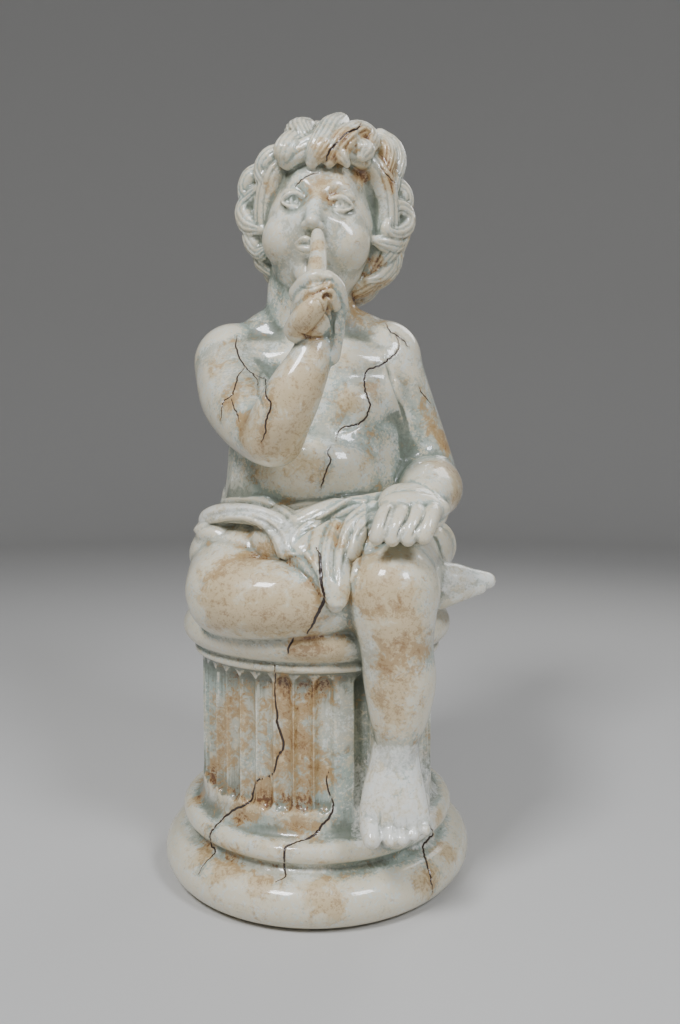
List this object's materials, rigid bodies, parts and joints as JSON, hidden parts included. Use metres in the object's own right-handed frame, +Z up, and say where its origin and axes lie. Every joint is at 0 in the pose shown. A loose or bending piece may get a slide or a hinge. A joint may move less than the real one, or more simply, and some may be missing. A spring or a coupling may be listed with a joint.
{
  "type": "seated cherub statue on a fluted column drum",
  "caption": "Cast plaster statue of a seated cherub, a finger at its lips, on a short fluted round column with a turned base and a flat underside.",
  "frame": {"origin": "middle of the round underside of the base, on the floor", "axes": "+Z up along the column's axis, -Y the way the figure faces, +X to the figure's left"},
  "size_m": [0.312, 0.3097, 0.7109],
  "materials": {
    "varnished_plaster": "gloss varnish over cast plaster, painted as stained ivory marble with ochre mottling and fine cracks"
  },
  "bodies": {
    "root": {"cherub_on_column": "varnished_plaster"}
  },
  "joints": []
}
